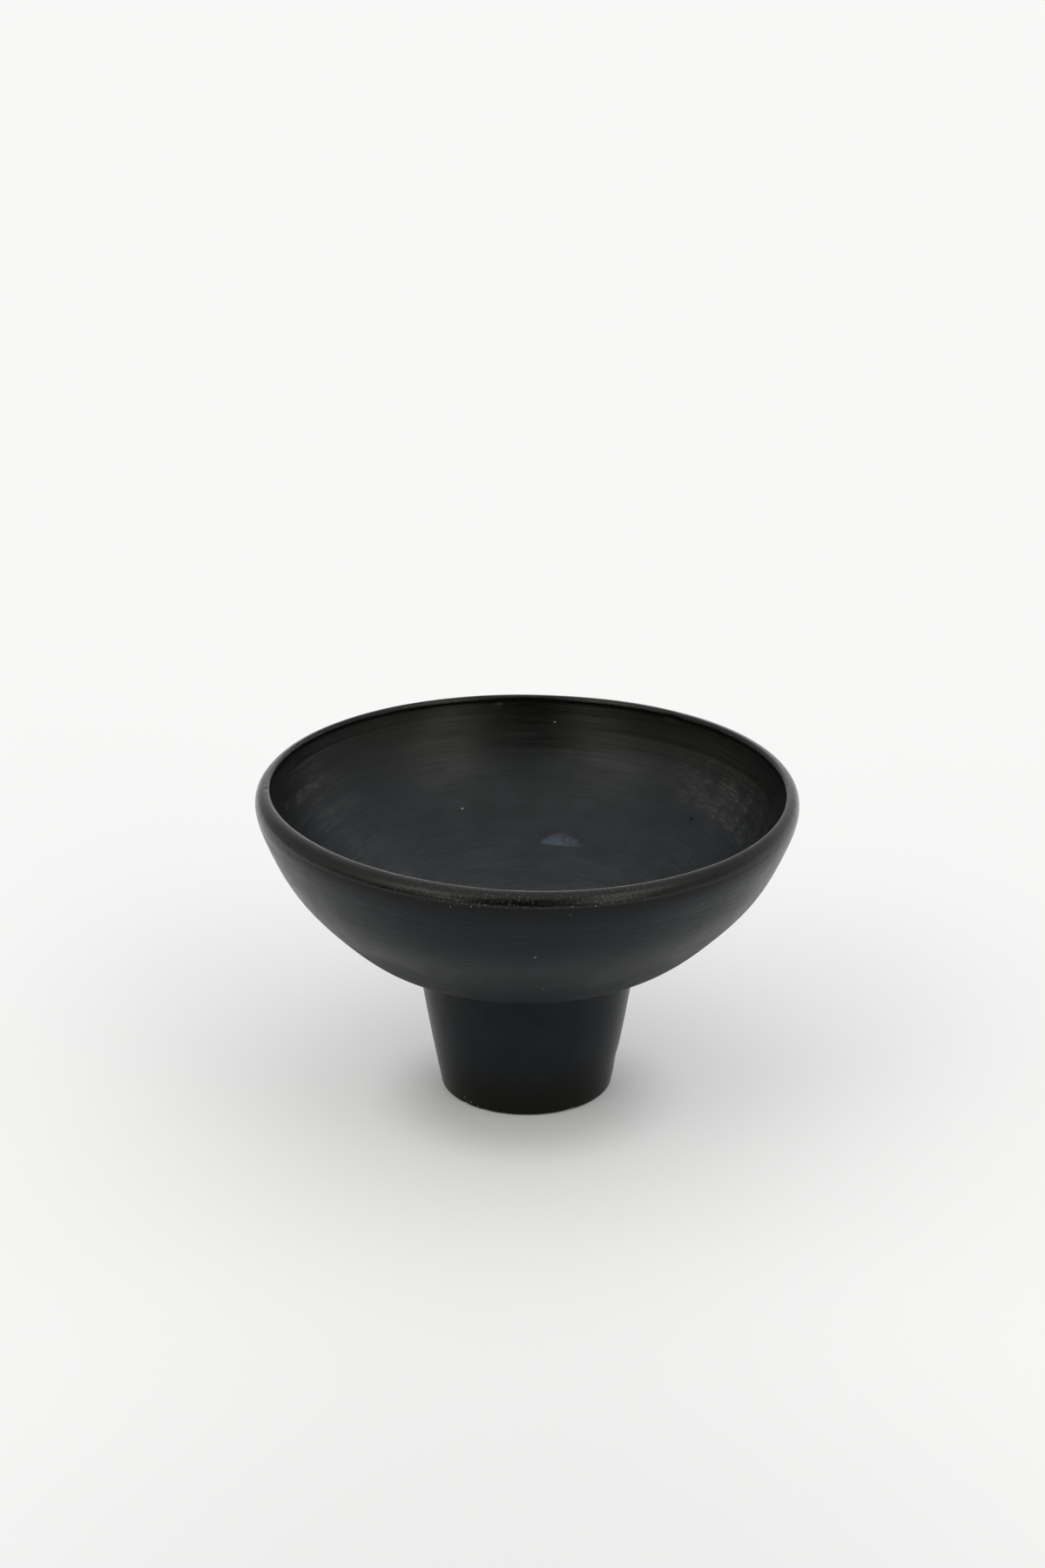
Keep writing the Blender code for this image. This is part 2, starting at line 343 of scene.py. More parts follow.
# Each soft light has an azimuth from the back towards +X, an elevation, a spread, a strength and a tint
SKY_LIGHTS = (
    # Bright wall behind the table, and its wide low sides
    (1.0, 15.0, 24.7, 0.68, WHITE),
    (-55.0, 4.4, 23.0, 0.36, (1.0, 0.995, 0.98)),
    (55.0, 4.8, 23.0, 0.58, (0.99, 0.995, 1.0)),
    (0.0, 3.0, 14.0, 0.5, WHITE),
    # Front left, from low to half-way up
    (214.0, 17.5, 7.5, 1.9, WARMER),
    (223.0, 44.0, 8.5, 1.4, WARM),
    (242.0, 24.0, 11.0, 0.22, WARM),
    # Front right, from low to half-way up
    (147.0, 18.0, 9.0, 2.2, WARMER),
    (137.0, 44.0, 8.5, 1.35, WARM),
    (116.0, 6.0, 10.0, 0.48, WARM),
    # The two main lights at the front
    (238.0, 42.0, 12.0, 1.22, MILD),
    (123.0, 42.0, 12.0, 1.13, MILD),
    # High lights at the front, the sides and the back
    (216.0, 69.0, 16.0, 0.68, WARM),
    (145.7, 67.0, 16.0, 0.42, WARM),
    (296.0, 58.0, 14.0, 0.36, COOL),
    (84.0, 63.0, 10.0, 0.28, COOL),
    (20.0, 62.5, 26.9, 0.80, COOL),
    # Left and right sides
    (270.0, 22.0, 17.0, 0.56, (1.0, 1.0, 0.98)),
    (90.0, 22.0, 18.0, 0.46, (0.92, 0.97, 1.0)),
)
SKY_FILL = 0.01
BACKDROP = (0.9, 0.9, 0.895)
FLOOR_COLOUR = (0.783, 0.786, 0.792)
FLOOR_ROUGHNESS = 0.9
FLOOR_GLOSS = 0.05
# The floor's glow is weaker near the foot, where the bowl keeps the studio's light away
FLOOR_GLOW = 0.215
FLOOR_GLOW_NEAR = 0.075
GLOW_HOLE = (0.0, -0.015, 0.0)
GLOW_HOLE_REACH = 0.030
GLOW_FULL_REACH = 0.067
# The floor is a little darker towards the camera
FLOOR_SHADE = 0.885
FLOOR_SHADE_PLACE = (0.0, -0.42, 0.0)
FLOOR_SHADE_REACH = 0.06
FLOOR_SHADE_END = 0.30
FLOOR_SIZE = 30.0
FLOOR_HEIGHT = -0.0002

# Camera, found from the photograph's outlines
CAMERA_BACK = 1.3279
CAMERA_HEIGHT = 0.6643
CAMERA_DOWN = 0.38487
CAMERA_AZIMUTH = -0.0013
CAMERA_ROLL = -0.0014
LENS = 85.0
SENSOR = 36.0


def lerp(low, high, share):
    return low + (high - low) * share


def smoothstep(low, high, value):
    share = np.clip((value - low) / (high - low), 0.0, 1.0)
    return share * share * (3.0 - 2.0 * share)


def ring_wave(waves, azimuth):
    """Sum of waves round the axis, each given as a count, a size and the azimuth of a crest in degrees."""
    return sum(size * np.cos(count * (azimuth - math.radians(crest))) for count, size, crest in waves)


def bezier(points, count):
    """Points on a cubic curve in the radius and height plane, both ends included."""
    t = np.linspace(0.0, 1.0, count)[:, None]
    s = 1.0 - t
    p0, p1, p2, p3 = (np.array(p, float) for p in points)
    return s**3 * p0 + 3 * s * s * t * p1 + 3 * s * t * t * p2 + t**3 * p3


def arc(centre, radius, height, start, end, count=ARC_POINTS):
    angle = np.radians(np.linspace(start, end, count))
    return np.stack([centre[0] + radius * np.cos(angle), centre[1] + height * np.sin(angle)], axis=1)


def resample(line, step_at):
    """Walks the line and drops a point each time the local step, given by step_at(point), is used up."""
    line = np.asarray(line, float)
    lengths = np.hypot(*np.diff(line, axis=0).T)
    line = line[np.concatenate([[True], lengths > TINY])]
    lengths = np.hypot(*np.diff(line, axis=0).T)
    along = np.concatenate([[0.0], np.cumsum(lengths)])
    fine = np.linspace(0.0, along[-1], int(along[-1] / FINE_STEP) + 2)
    points = np.stack([np.interp(fine, along, line[:, i]) for i in (0, 1)], axis=1)
    used = np.concatenate([[0.0], np.cumsum(np.diff(fine) / np.array([step_at(p) for p in points[1:]]))])
    count = max(2, int(round(used[-1])) + 1)
    at = np.interp(np.linspace(0.0, used[-1], count), used, fine)
    return np.stack([np.interp(at, fine, points[:, i]) for i in (0, 1)], axis=1)


def normals_of(line, closed):
    """Unit normals of a profile that has its clay on the right-hand side as it runs."""
    if closed:
        slope = np.roll(line, -1, axis=0) - np.roll(line, 1, axis=0)
    else:
        slope = np.gradient(line, axis=0)
    slope /= np.maximum(np.hypot(*slope.T), TINY)[:, None]
    return np.stack([-slope[:, 1], slope[:, 0]], axis=1)


def round_of(steps):
    return np.linspace(0.0, 2.0 * math.pi, steps, endpoint=False)[None, :]


def turned_grid(radius, height, azimuth):
    """Points of a turned surface: radius and height are arrays of profile points by steps round."""
    return np.stack([radius * np.cos(azimuth), radius * np.sin(azimuth), height + 0.0 * azimuth], axis=2)


def plain_turned(name, line, steps):
    """Closed ring turned from a profile, with nothing uneven added."""
    azimuth = round_of(steps)
    return mesh_from_grid(name, turned_grid(line[:, :1] + 0.0 * azimuth, line[:, 1:], azimuth), False)


def lengths_along(line):
    """Distance of each profile point from the first, measured along the profile."""
    return np.concatenate([[0.0], np.cumsum(np.hypot(*np.diff(line, axis=0).T))])


def spline_weights(t):
    return (1 - t) ** 3 / 6, (3 * t**3 - 6 * t**2 + 4) / 6, (-3 * t**3 + 3 * t**2 + 3 * t + 1) / 6, t**3 / 6


def uneven(seed, azimuth, along, cells, cell):
    """Smooth random wave of about -1 to 1, with so many cells round the axis and a cell length along it."""
    count = int(along.max() / cell) + SPLINE_KNOTS
    knots = np.random.default_rng(seed).uniform(-KNOT_REACH, KNOT_REACH, (count, cells))
    place = azimuth / (2.0 * math.pi) * cells
    row, column = (along / cell).astype(int), np.floor(place).astype(int)
    wave = 0.0
    for i, up in enumerate(spline_weights(along / cell - row)):
        for k, across in enumerate(spline_weights(place - column)):
            wave = wave + up * across * knots[row + i, (column + k) % cells]
    return wave


def between(azimuth, first, last):
    """1 where the azimuth lies between two others in degrees, fading out near both."""
    middle, half = math.radians(0.5 * (first + last)), math.radians(0.5 * (last - first))
    away = np.abs((azimuth - middle + math.pi) % (2.0 * math.pi) - math.pi)
    return 1.0 - smoothstep(half - math.radians(GROOVE_FADE), half, away)


def dent_depth(dents, line, azimuth, along):
    """Total depth of the dents at each point; each sits at the profile point nearest to its place."""
    depth = 0.0
    for turn, radius, height, size_round, size_along, deep in dents:
        nearest = np.argmin(np.hypot(line[:, 0] - radius, line[:, 1] - height))
        away = (azimuth - math.radians(turn) + math.pi) % (2.0 * math.pi) - math.pi
        across = away * radius / size_round
        depth = depth + deep * np.exp(-(across**2) - ((along - along[nearest]) / size_along) ** 2)
    return depth


def mesh_from_grid(name, grid, ends_on_axis):
    """Closed mesh of a turned grid in millimetres: capped at the axis, or joined end to end as a ring."""
    rows, steps, _ = grid.shape
    points = (grid.reshape(-1, 3) * MM).tolist()
    index = np.arange(rows * steps).reshape(rows, steps)
    if not ends_on_axis:
        index = np.vstack([index, index[:1]])
    turned = np.roll(index, -1, axis=1)
    quads = np.stack([index[:-1], turned[:-1], turned[1:], index[1:]], axis=2)
    faces = quads.reshape(-1, 4).tolist()
    if ends_on_axis:
        for row, first, second in ((0, turned[0], index[0]), (rows - 1, index[-1], turned[-1])):
            centre = len(points)
            points.append((0.0, 0.0, float(grid[row, :, 2].mean()) * MM))
            faces.extend((centre, int(a), int(b)) for a, b in zip(first, second))
    mesh = bpy.data.meshes.new(name)
    mesh.from_pydata(points, [], faces)
    mesh.validate()
    mesh.shade_smooth()
    piece = bpy.data.objects.new(name, mesh)
    bpy.context.scene.collection.objects.link(piece)
    return piece


def foot_outer(z):
    share = z / SEAM_HEIGHT
    return lerp(FOOT_BASE_RADIUS, FOOT_TOP_RADIUS, share) + FOOT_SWELL * np.sin(math.pi * share)


def foot_inner(z):
    return foot_outer(z) - lerp(FOOT_BASE_WALL, FOOT_TOP_WALL, z / SEAM_HEIGHT)


def bowl_line():
    """Bowl's profile from the floor's centre up the inner side, over the lip and down to the underside."""
    floor_height = SEAM_HEIGHT + FLOOR_THICKNESS
    floor_reach = FOOT_TOP_RADIUS + UNDERSIDE_REACH - CORNER_FILL
    crest_radius = RIM_RADIUS - LIP_OUTER_ROUND
    bead_radius = crest_radius - LIP_INNER_ROUND
    bead_height = RIM_HEIGHT - LIP_INNER_DROP
    crease = (bead_radius + BEAD_UNDERCUT, bead_height - BEAD_UNDERSIDE)
    lean = math.radians(WALL_LEAN)
    shoulder = (crease[0] - WALL_LEAN_REACH * math.sin(lean), crease[1] - WALL_LEAN_REACH * math.cos(lean))
    floor_end = (floor_reach + FLOOR_SPREAD, floor_height)
    inner = bezier(((0.0, floor_height), floor_end, shoulder, crease), CURVE_POINTS)
    lip_inner = arc((crest_radius, bead_height), LIP_INNER_ROUND, LIP_INNER_DROP, 180, 90)
    lip_outer = arc((crest_radius, WIDEST_HEIGHT), LIP_OUTER_ROUND + RIDGE_DEPTH, LIP_CURVE_HEIGHT, 90, 0)
    outer = bezier(
        (
            (RIM_RADIUS, WIDEST_HEIGHT),
            (RIM_RADIUS, RIM_HEIGHT - LIP_HEIGHT - SHOULDER_REACH),
            (FOOT_TOP_RADIUS + UNDERSIDE_REACH, SEAM_HEIGHT),
            (FOOT_TOP_RADIUS, SEAM_HEIGHT),
        ),
        CURVE_POINTS,
    )
    t = np.linspace(1.0, 0.0, len(outer))
    ridge = RIDGE_DEPTH * np.minimum(1.0, RIDGE_FADE * t) * np.cos(2 * math.pi * RIDGES * (1.0 - t))
    outer = outer + normals_of(outer, False) * ridge[:, None]
    underside = [(FOOT_TOP_RADIUS * UNDERSIDE_SHARE, SEAM_HEIGHT), (UNDERSIDE_END, SEAM_HEIGHT)]
    return np.vstack([inner[1:], lip_inner, lip_outer[1:], outer[1:], underside])


def bowl_step(point):
    """Spacing of the bowl's rows: close on the lip, wider on the walls, widest under the foot."""
    radius, height = point
    if height > WIDEST_HEIGHT - LIP_ROW_MARGIN:
        return LIP_ROW
    if radius < FOOT_TOP_RADIUS and height < SEAM_HEIGHT + 0.5 * FLOOR_THICKNESS:
        return HIDDEN_ROW
    return WALL_ROW


def thrown_marks(line, azimuth, along, is_inner):
    """Height, outwards from the clay, of what the potter's hands and tools left on the bowl's walls."""
    levels = line[:, 1:]
    on_wall = smoothstep(SEAM_HEIGHT + MARKS_START, SEAM_HEIGHT + MARKS_FULL, levels)
    below_lip = 1.0 - smoothstep(WIDEST_HEIGHT - RINGS_FADE_BELOW, WIDEST_HEIGHT + RINGS_END_ABOVE, levels)
    rings = 0.0
    for side, waves in ((False, OUTER_RINGS), (True, INNER_RINGS)):
        for pitch, depth, lead in waves:
            wave = depth * np.cos(2.0 * math.pi * along / pitch + lead * azimuth)
            rings = rings + wave * (is_inner == side)
    seed, cells, cell, change = RING_CHANGE
    fading = RING_STRENGTH + change * uneven(seed, azimuth, along, cells, cell)
    marks = rings * fading * on_wall * below_lip
    for side, height, first, last, depth, width in GROOVES:
        across = np.exp(-(((levels - height) / width) ** 2)) * (is_inner == (side < 0))
        marks = marks - depth * across * between(azimuth, first, last)
    for seed, cells, cell, depth in BOWL_LUMPS:
        marks = marks + depth * uneven(seed, azimuth, along, cells, cell) * on_wall
    return marks - dent_depth(BOWL_DENTS, line, azimuth, along)


def make_bowl():
    """Thrown bowl with its uneven rim; its faces carry the skins of inside, lip and outside in turn."""
    line = resample(bowl_line(), bowl_step)
    normal = normals_of(line, False)
    azimuth = round_of(BOWL_STEPS)
    along = lengths_along(line)[:, None]
    crest_row = np.argmax(line[:, 1])
    is_inner = (np.arange(len(line)) < crest_row)[:, None]
    near_rim = smoothstep(RIM_HEIGHT - LIP_WIDTH_START, RIM_HEIGHT - LIP_WIDTH_FULL, line[:, 1:])
    across = np.clip((RIM_RADIUS - line[:, :1]) / WALL_THICKNESS, 0.0, 1.0)
    share = np.where(is_inner, near_rim, across * (line[:, 1:] > WIDEST_HEIGHT))
    marks = thrown_marks(line, azimuth, along, is_inner)
    radius = line[:, :1] + share * ring_wave(LIP_WIDTH, azimuth) + marks * normal[:, :1]
    height = line[:, 1:] + marks * normal[:, 1:]
    weight = np.maximum(0.0, (line[:, 1:] - SEAM_HEIGHT) / (RIM_HEIGHT - SEAM_HEIGHT)) ** WARP_POWER
    weight = weight * np.minimum(1.0, line[:, :1] / FOOT_TOP_RADIUS)
    radius = radius + weight * ring_wave(RIM_OVAL, azimuth)
    height = height + weight * ring_wave(RIM_RISE, azimuth)
    bowl = mesh_from_grid("thrown_bowl", turned_grid(radius, height, azimuth), True)
    lip_row = np.argmax(line[:, 1] > RIM_HEIGHT - LIP_INNER_DROP - BEAD_UNDERSIDE)
    outside_row = crest_row + np.argmax(line[crest_row:, 1] < WIDEST_HEIGHT + LIP_SKIN_RISE)
    face = np.arange(len(bowl.data.polygons))
    skin = (face >= lip_row * BOWL_STEPS).astype(np.int32) + (face >= outside_row * BOWL_STEPS)
    # The cap at the inside's centre comes after the rows, so its skin is set by itself
    skin[-2 * BOWL_STEPS : -BOWL_STEPS] = 0
    bowl.data.polygons.foreach_set("material_index", skin)
    return bowl


def make_foot():
    """Hollow tapered foot, open underneath, with a rounded base ring."""
    z = np.linspace(FOOT_TOP_HEIGHT, FOOT_OUTER_ROUND, FOOT_WALL_POINTS)
    outer = np.stack([foot_outer(z), z], axis=1)
    edge = foot_outer(FOOT_OUTER_ROUND) - FOOT_OUTER_ROUND
    outer_round = arc((edge, FOOT_OUTER_ROUND), FOOT_OUTER_ROUND, FOOT_OUTER_ROUND, 0, -90)
    inner_edge = foot_inner(FOOT_INNER_ROUND) + FOOT_INNER_ROUND
    inner_round = arc((inner_edge, FOOT_INNER_ROUND), FOOT_INNER_ROUND, FOOT_INNER_ROUND, 270, 180)
    z = np.linspace(FOOT_INNER_ROUND, FOOT_TOP_HEIGHT, FOOT_WALL_POINTS)
    inner = np.stack([foot_inner(z), z], axis=1)
    line = np.vstack([outer, outer_round[1:], inner_round, inner[1:], outer[:1]])
    line = resample(line, lambda p: FOOT_BASE_ROW if p[1] < FOOT_BASE_ZONE else FOOT_ROW)[:-1]
    normal = normals_of(line, True)
    azimuth = round_of(FOOT_STEPS)
    along = lengths_along(line)[:, None]
    off_base = smoothstep(0.0, FOOT_LUMPS_BASE, line[:, 1:])
    free = off_base * (1.0 - smoothstep(FOOT_TOP_HEIGHT - FOOT_LUMPS_TOP, FOOT_TOP_HEIGHT, line[:, 1:]))
    marks = 0.0
    for seed, cells, cell, depth in FOOT_LUMPS:
        marks = marks + depth * uneven(seed, azimuth, along, cells, cell) * free
    marks = marks - dent_depth(FOOT_DENTS, line, azimuth, along)
    radius = line[:, :1] + marks * normal[:, :1]
    height = line[:, 1:] + marks * normal[:, 1:]
    return mesh_from_grid("thrown_foot", turned_grid(radius, height, azimuth), False)


def make_slip():
    """Bed of slip between foot and bowl, with a small cove outside."""
    low = FOOT_TOP_HEIGHT + SEAT_GAP
    high = SEAM_HEIGHT - SEAT_GAP
    inner = foot_inner(FOOT_TOP_HEIGHT)
    outer = foot_outer(FOOT_TOP_HEIGHT)
    cove = arc((outer + SLIP_BEAD, low), SLIP_BEAD, high - low, SLIP_BEAD_START, 180.0, SLIP_BEAD_POINTS)
    line = np.vstack([[(cove[0][0], high)], cove, [(inner, low), (inner, high)], [(cove[0][0], high)]])
    line = resample(line, lambda p: SLIP_BEAD_ROW if p[0] > outer - SLIP_BEAD_ZONE else SLIP_ROW)[:-1]
    return plain_turned("slip_bed", line, FOOT_STEPS)


def make_coil():
    """Clay coil pressed into the corner inside the foot, with a hollow face."""
    high = SEAM_HEIGHT - SEAT_GAP
    low = high - COIL_LEG
    wall_top = foot_inner(FOOT_TOP_HEIGHT) - SEAT_GAP
    wall_low = foot_inner(low) - SEAT_GAP
    tip = wall_top - COIL_LEG
    cove = arc((tip, low), wall_low - tip, COIL_LEG, COIL_BLUNT, 90 - COIL_BLUNT)
    toe = (foot_inner(cove[0][1]) - SEAT_GAP, cove[0][1])
    wall = [(wall_top, high), (wall_top, FOOT_TOP_HEIGHT), toe]
    line = np.vstack([wall, cove, [(cove[-1][0], high), (wall_top, high)]])
    line = resample(line, lambda p: COIL_ROW)[:-1]
    return plain_turned("pressed_coil", line, FOOT_STEPS)


def rgba(value):
    return value if isinstance(value, bpy.types.NodeSocket) else (*value, 1.0)


class Nodes:
    """A node tree, and short calls that add a node and set or link its inputs."""

    def __init__(self, owner):
        owner.use_nodes = True
        self.tree = owner.node_tree

    def feed(self, socket, value):
        if isinstance(value, bpy.types.NodeSocket):
            self.tree.links.new(value, socket)
        else:
            socket.default_value = value

    def add(self, kind, values, output=0, **settings):
        node = self.tree.nodes.new(kind)
        for key, setting in settings.items():
            setattr(node, key, setting)
        for key, value in values.items():
            self.feed(node.inputs[key], value)
        return node.outputs[output]

    def maths(self, operation, *values):
        return self.add("ShaderNodeMath", dict(enumerate(values)), operation=operation)

    def times(self, first, second):
        return self.maths("MULTIPLY", first, second)

    def plus(self, first, second):
        return self.maths("ADD", first, second)

    def vector(self, operation, first, second=(0.0, 0.0, 0.0), output=0):
        return self.add("ShaderNodeVectorMath", {0: first, 1: second}, output, operation=operation)

    def stretch(self, first, factor):
        return self.add("ShaderNodeVectorMath", {0: first, "Scale": factor}, operation="SCALE")

    def fade(self, value, start, end, low=0.0, high=1.0):
        """Smooth change from low to high while the value goes from start to end."""
        values = {"Value": value, "From Min": start, "From Max": end, "To Min": low, "To Max": high}
        return self.add("ShaderNodeMapRange", values, interpolation_type="SMOOTHSTEP")

    def blend(self, share, first, second):
        return self.add("ShaderNodeMix", {0: share, 6: rgba(first), 7: rgba(second)}, 2, data_type="RGBA")


class Surface(Nodes):
    """A material. Lengths in its calls are millimetres of the object's own space."""

    def __init__(self, name):
        self.material = bpy.data.materials.new(name)
        super().__init__(self.material)
        self.shader = self.tree.nodes["Principled BSDF"]
        self.place = self.stretch(self.add("ShaderNodeTexCoord", {}, "Object"), 1.0 / MM)
        split = self.tree.nodes.new("ShaderNodeSeparateXYZ")
        self.feed(split.inputs[0], self.place)
        self.height = split.outputs[2]
        flat = self.vector("MULTIPLY", self.place, (1.0, 1.0, 0.0))
        self.radius = self.vector("LENGTH", flat, output="Value")
        self.radial = self.vector("NORMALIZE", flat)

    def noise(self, size, detail, rough, where=None):
        """Soft noise of 0 to 1 with features of about this size."""
        values = {"Vector": where or self.place, "Scale": 1.0 / size, "Detail": detail, "Roughness": rough}
        return self.add("ShaderNodeTexNoise", values)

    def streaks(self, round_size, along_size, detail, rough):
        """Noise of 0 to 1 that runs in streaks round the axis, without a seam."""
        round_part = self.stretch(self.radial, STREAK_RADIUS / round_size)
        along = self.times(self.plus(self.radius, self.height), STREAK_SLOPE / along_size)
        where = self.vector("ADD", round_part, self.add("ShaderNodeCombineXYZ", {0: 0.0, 1: 0.0, 2: along}))
        return self.noise(1.0, detail, rough, where)

    def swing(self, noise, size):
        """Noise of 0 to 1 as a shift to both sides."""
        return self.times(self.maths("SUBTRACT", noise, 0.5), size)

    def near(self, spot, reach):
        """1 close to a spot, 0 beyond its reach."""
        return self.fade(self.vector("DISTANCE", self.place, spot, "Value"), reach, reach * SPOT_CORE)

    def towards(self, azimuth, reach):
        """1 round an azimuth, 0 beyond so many degrees from it."""
        facing = self.vector("DOT_PRODUCT", self.radial, spot_at(azimuth, 1.0, 0.0), "Value")
        return self.fade(facing, math.cos(math.radians(reach)), math.cos(math.radians(REACH_CORE * reach)))

    def arc_band(self, height, azimuth, reach, width):
        """1 along an arc of the wall: at a height, and round an azimuth out to so many degrees."""
        off = self.maths("ABSOLUTE", self.maths("SUBTRACT", self.height, height))
        return self.times(self.towards(azimuth, reach), self.fade(off, width, WIDTH_CORE * width))

    def gloss(self, strength, tint):
        self.shader.inputs["Specular IOR Level"].default_value = strength
        self.shader.inputs["Specular Tint"].default_value = (*tint, 1.0)

    def finish(self, colour, roughness, height):
        """Feeds the shader; the height is in millimetres."""
        self.feed(self.shader.inputs["Base Color"], rgba(colour))
        self.feed(self.shader.inputs["Roughness"], roughness)
        bump = self.add("ShaderNodeBump", {"Height": height, "Distance": MM})
        self.feed(self.shader.inputs["Normal"], bump)
        return self.material


def spot_at(azimuth, radius, height):
    turn = math.radians(azimuth)
    return (radius * math.cos(turn), radius * math.sin(turn), height)


def specked(look, colour, specks):
    """Adds light specks of clay to a colour."""
    for azimuth, radius, height, reach in specks:
        colour = look.blend(look.near(spot_at(azimuth, radius, height), reach), colour, SPECK_CLAY)
    return colour


def smudge_mask(look):
    """Fan-shaped smear on the floor of the bowl: straight on the near side, pointed on the far side."""
    azimuth, radius, height = SMUDGE_PLACE
    shift = look.vector("SUBTRACT", look.place, spot_at(azimuth, radius, height))
    outward = look.vector("DOT_PRODUCT", shift, spot_at(azimuth, 1.0, 0.0), "Value")
    sideways = look.vector("DOT_PRODUCT", shift, spot_at(azimuth + 90.0, 1.0, 0.0), "Value")
    ragged = look.swing(look.noise(*SMUDGE_EDGE_NOISE), SMUDGE_EDGE_WAVE)
    reach = look.times(sideways, 1.0 / SMUDGE_WIDTH)
    reach = look.plus(look.times(reach, reach), look.times(outward, 1.0 / SMUDGE_LENGTH))
    sides = look.fade(look.plus(reach, ragged), *SMUDGE_SIDE_FADE)
    base = look.fade(look.plus(outward, ragged), *SMUDGE_BASE_FADE)
    wiped = look.fade(look.noise(*SMUDGE_WIPES), *SMUDGE_WIPE_FADE)
    thinner = look.fade(outward, SMUDGE_LENGTH, 0.0, *SMUDGE_END_SHARES)
    return look.times(look.times(sides, base), look.times(wiped, thinner))


def inside_material():
    """Dry cloudy black of the bowl's inside, with finger rings, scuffs, a pale smudge, specks, a pit and
    painted shade under the rim.
    """
    look = Surface("fired_bowl_inside")
    look.gloss(*INSIDE_GLOSS)
    streaks = look.streaks(*INSIDE_STREAKS)
    bands = look.streaks(*INSIDE_BANDS)
    cloud_share, band_share, streak_share = INSIDE_MIX
    lines = look.plus(look.times(bands, band_share), look.times(streaks, streak_share))
    mottle = look.plus(look.times(look.noise(*CLOUDS), cloud_share), lines)
    pale = look.fade(mottle, *INSIDE_PALE_FADE)
    colour = look.blend(pale, INSIDE_DARK, INSIDE_PALE)
    # Painted shade: the inside darkens towards the rim
    wavy_height = look.plus(look.height, look.swing(bands, RIM_DARK_WAVE))
    near_rim = look.fade(wavy_height, RIM_HEIGHT - RIM_DARK_START, RIM_HEIGHT - RIM_DARK_FULL)
    colour = look.blend(near_rim, colour, PAINTED_RIM_SHADE)
    dust = look.streaks(*SCUFF_DUST)
    patches = look.fade(look.noise(*SCUFF_PATCHES), *SCUFF_PATCH_FADE)
    for height, azimuth, reach, width, strength in SCUFFS:
        band = look.times(look.arc_band(height, azimuth, reach, width), patches)
        share = look.plus(look.fade(dust, *SCUFF_DUST_FADE, 0.0, strength), SCUFF_VEIL * strength)
        colour = look.blend(look.times(band, share), colour, SCUFF_BROWN)
    colour = look.blend(smudge_mask(look), colour, SMUDGE_BLUE)
    colour = specked(look, colour, INSIDE_SPECKS)
    pit = look.near(spot_at(*PIT_PLACE), PIT_REACH)
    colour = look.blend(pit, colour, LIP_BLACK)
    grain = look.times(look.noise(*INSIDE_GRAIN), INSIDE_GRAIN_DEPTH)
    height = look.plus(grain, look.times(streaks, INSIDE_STREAK_DEPTH))
    roughness = look.plus(look.fade(pale, *INSIDE_ROUGHNESS), look.fade(streaks, *STREAK_ROUGHNESS))
    roughness = look.plus(roughness, look.times(pit, PIT_ROUGHNESS))
    return look.finish(colour, roughness, height)


def outside_material(name, gloss):
    """Polished black of lip and outside, with throwing lines, a pebbled lip and shoulder, specks, and
    painted glints (painted highlights) on the lip's front.
    """
    look = Surface(name)
    look.gloss(*gloss)
    lip = look.fade(look.height, RIM_HEIGHT - LIP_POLISH_START, RIM_HEIGHT - LIP_POLISH_FULL)
    shoulder = look.fade(look.height, RIM_HEIGHT - SHOULDER_START, RIM_HEIGHT - SHOULDER_FULL)
    streaks = look.streaks(*OUTSIDE_STREAKS)
    cloud_share, streak_share = OUTSIDE_MIX
    mottle = look.plus(look.times(look.noise(*CLOUDS), cloud_share), look.times(streaks, streak_share))
    pale = look.fade(mottle, *OUTSIDE_PALE_FADE)
    colour = look.blend(lip, look.blend(pale, OUTSIDE_DARK, OUTSIDE_PALE), LIP_BLACK)
    # Painted highlights: glints painted into the colour of the lip's front, on the side that faces the
    # camera
    above_widest = look.fade(look.height, WIDEST_HEIGHT - GLINT_EDGE, WIDEST_HEIGHT + GLINT_EDGE)
    front = look.times(look.towards(GLINT_AZIMUTH, GLINT_REACH), above_widest)
    painted_glints = look.times(look.fade(look.noise(*GLINT_NOISE), *GLINT_FADE), front)
    colour = specked(look, look.blend(painted_glints, colour, PAINTED_LIP_GLINT), OUTSIDE_SPECKS)
    tooth = look.times(look.streaks(*LIP_TOOTH), look.times(lip, LIP_TOOTH_DEPTH))
    pebbles = look.times(look.streaks(*PEBBLES), look.times(shoulder, PEBBLE_DEPTH))
    height = look.plus(look.plus(tooth, look.times(streaks, OUTSIDE_STREAK_DEPTH)), pebbles)
    roughness = look.plus(look.fade(pale, *OUTSIDE_ROUGHNESS), look.times(lip, LIP_ROUGHNESS))
    dull = look.fade(look.height, SEAM_HEIGHT + DULL_START, SEAM_HEIGHT + DULL_FULL, 0.0, DULL_ROUGHNESS)
    return look.finish(colour, look.plus(roughness, dull), height)


